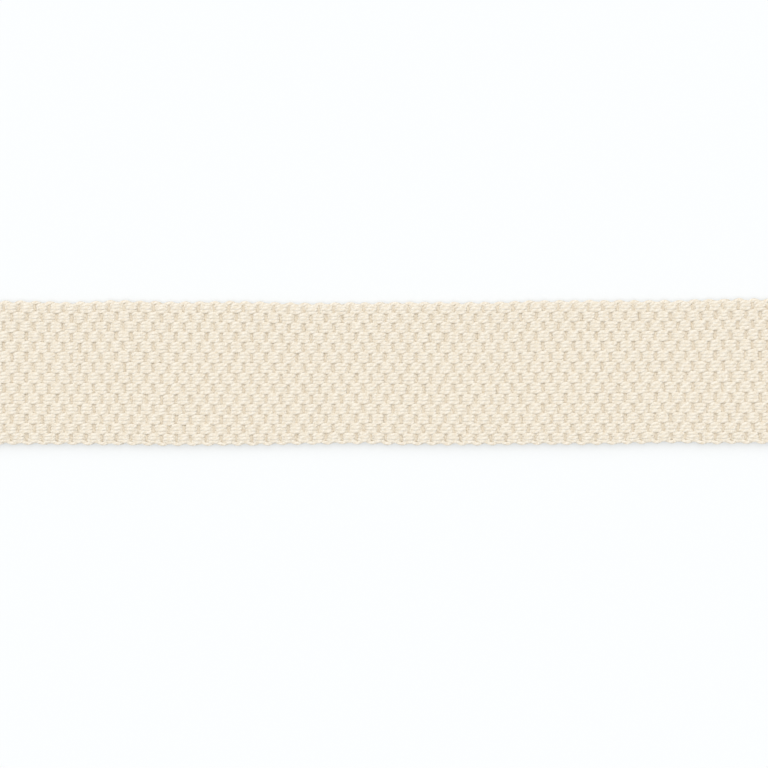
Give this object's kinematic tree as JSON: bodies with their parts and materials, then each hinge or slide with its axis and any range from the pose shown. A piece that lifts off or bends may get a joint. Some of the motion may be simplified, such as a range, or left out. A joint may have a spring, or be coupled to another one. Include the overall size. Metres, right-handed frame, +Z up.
{
  "type": "cut length of woven braid trim",
  "caption": "Flat cotton braid trim, basket woven from grouped warp yarns with scalloped woven edges, cut to length and laid flat.",
  "frame": {"origin": "middle of the braid's flat underside", "axes": "+X along the braid, +Y across it, +Z up out of its face"},
  "size_m": [0.24, 0.039, 0.0021],
  "materials": {
    "cotton": "matt undyed cotton, coarse even weave"
  },
  "bodies": {
    "root": {"braid_band": "cotton"}
  },
  "joints": []
}
